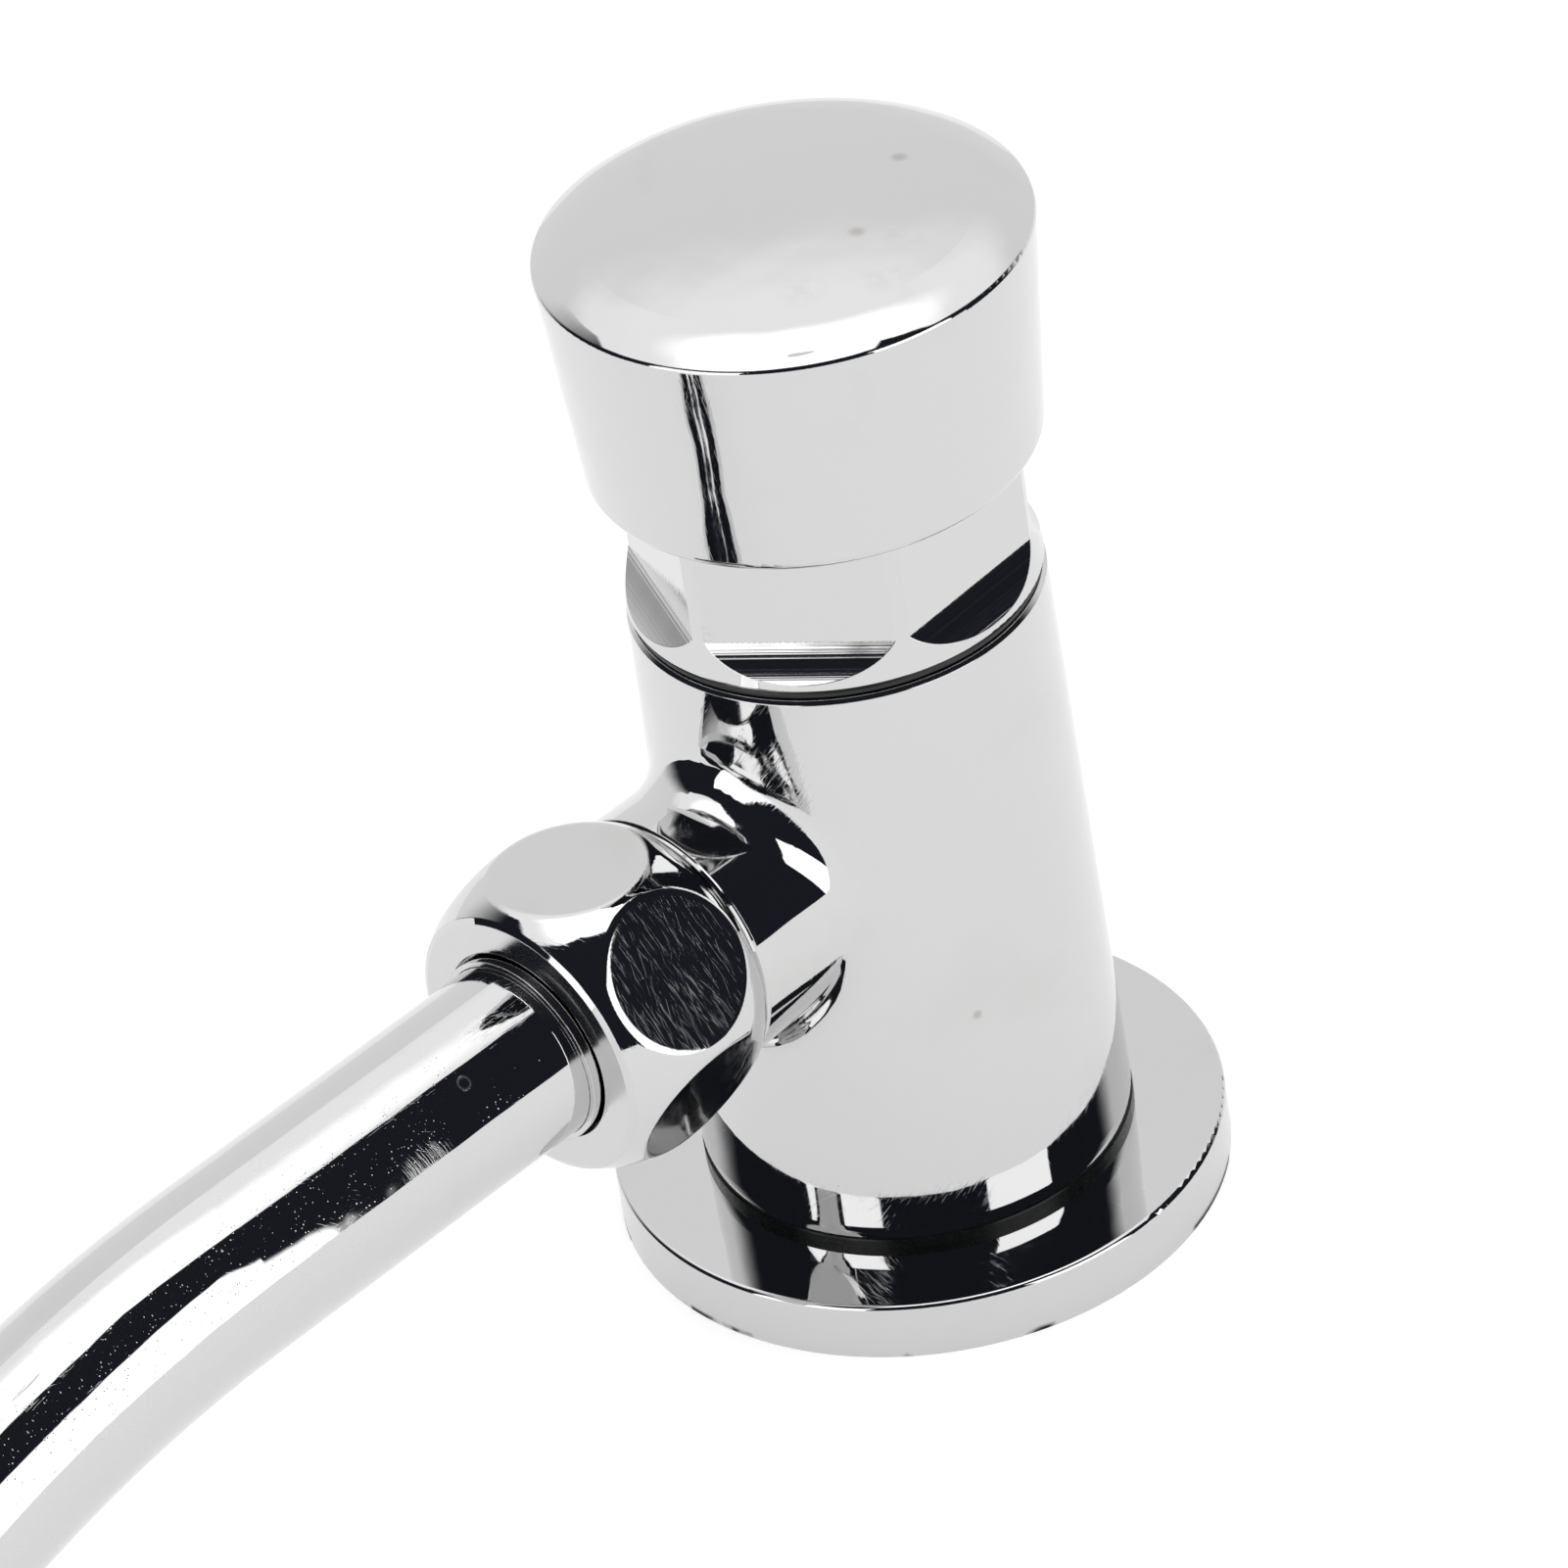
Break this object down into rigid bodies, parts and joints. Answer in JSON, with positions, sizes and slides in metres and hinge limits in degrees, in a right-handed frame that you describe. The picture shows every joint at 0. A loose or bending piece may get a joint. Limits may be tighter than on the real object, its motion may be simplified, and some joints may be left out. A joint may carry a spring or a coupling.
{
  "type": "flush valve",
  "caption": "Exposed wall-mounted self-closing urinal flush valve: conical body on a round rosette, wide push button, side outlet with a crowned union nut and a bent flush pipe.",
  "frame": {"origin": "centre of the rosette's back face, in the plane of the wall, on the inlet thread's axis", "axes": "+Z along the valve's axis away from the wall, towards the push button; -X along the outlet, towards the flush pipe; the part is symmetric about XZ"},
  "size_m": [0.2489, 0.06, 0.1256],
  "materials": {
    "chrome_body": "polished chrome plate on cast brass",
    "chrome_bonnet": "polished chrome plate on turned brass",
    "chrome_cap": "polished chrome plate on turned brass",
    "chrome_rosette": "polished chrome plate on pressed brass",
    "chrome_nut": "polished chrome plate on turned brass",
    "chrome_ring": "chrome plate over fine turning marks",
    "chrome_pipe": "polished chrome plate on drawn brass tube",
    "brass_plain": "turned, unplated",
    "steel_plain": "turned stainless steel",
    "spring_steel": "drawn stainless wire",
    "sieve_steel": "stamped stainless sheet",
    "white_plastic": "moulded acetal",
    "smoky_rubber": "smooth moulded rubber",
    "black_rubber": "smooth moulded rubber",
    "red_fibre": "pressed vulcanised fibre"
  },
  "bodies": {
    "housing": {"body": "chrome_body", "foot_ring": "smoky_rubber", "inlet_nipple": "brass_plain", "nipple_gasket": "red_fibre", "inlet_strainer": "sieve_steel", "bonnet": "chrome_bonnet", "bonnet_ring": "black_rubber", "cartridge": "white_plastic", "cartridge_cover": "brass_plain", "seat_ring": "black_rubber", "chamber_ring": "black_rubber", "spindle_ring": "black_rubber", "button_spring": "spring_steel", "valve_spring": "spring_steel"},
    "button": {"button_cap": "chrome_cap", "spindle": "steel_plain", "spindle_clip": "steel_plain", "lock_nut": "brass_plain"},
    "valve": {"piston": "brass_plain", "lip_seal": "black_rubber", "valve_stem": "steel_plain", "seat_washer": "black_rubber", "washer_holder": "brass_plain", "stem_nut": "brass_plain"},
    "rosette": {"rosette": "chrome_rosette"},
    "nut": {"union_nut": "chrome_nut"},
    "pipe": {"flush_pipe": "chrome_pipe", "clamp_ring": "chrome_ring", "pipe_seal": "black_rubber"}
  },
  "joints": [
    {"name": "button_press", "type": "slide", "parent": "housing", "child": "button", "axis": [0, 0, -1], "range_m": [0, 0.007], "stiffness_N_per_m": 1200, "springref_m": -0.006, "deforming": ["button_spring"]},
    {"name": "valve_lift", "type": "slide", "parent": "housing", "child": "valve", "axis": [0, 0, -1], "range_m": [0, 0.007], "stiffness_N_per_m": 900, "springref_m": -0.006, "deforming": ["valve_spring"]},
    {"name": "rosette_turn", "type": "hinge", "parent": "housing", "child": "rosette", "pos_m": [0, 0, 0], "axis": [0, 0, 1], "continuous": true},
    {"name": "nut_turn", "type": "hinge", "parent": "housing", "child": "nut", "pos_m": [0, 0, 0.0445], "axis": [-1, 0, 0], "continuous": true},
    {"name": "pipe_swivel", "type": "hinge", "parent": "housing", "child": "pipe", "pos_m": [0, 0, 0.0445], "axis": [-1, 0, 0], "continuous": true}
  ],
  "couplings": [
    {"joint": "valve_lift", "follows": "button_press", "ratio": 1}
  ]
}
